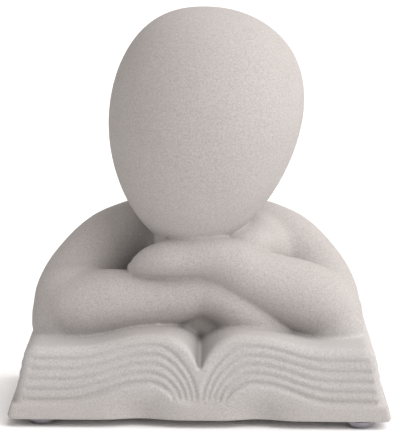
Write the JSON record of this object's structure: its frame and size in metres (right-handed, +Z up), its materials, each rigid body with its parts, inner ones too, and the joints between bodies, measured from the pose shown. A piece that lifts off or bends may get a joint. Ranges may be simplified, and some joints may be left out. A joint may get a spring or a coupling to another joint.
{
  "type": "ceramic reading figure statue",
  "caption": "Faceless ceramic figure with an egg-shaped head resting on folded arms over an open book, standing on clear bumper pads.",
  "frame": {"origin": "floor level under the middle of the book, where the pads stand", "axes": "+Z up, -Y towards the viewer of the open book's front edge, +X to that viewer's right"},
  "size_m": [0.1394, 0.092, 0.1502],
  "materials": {
    "ceramic": "matte, fine sandy grain",
    "clear_pad": "clear, smooth"
  },
  "bodies": {
    "root": {"figure": "ceramic", "pad_front_left": "clear_pad", "pad_front_right": "clear_pad", "pad_back_left": "clear_pad", "pad_back_right": "clear_pad"}
  },
  "joints": []
}
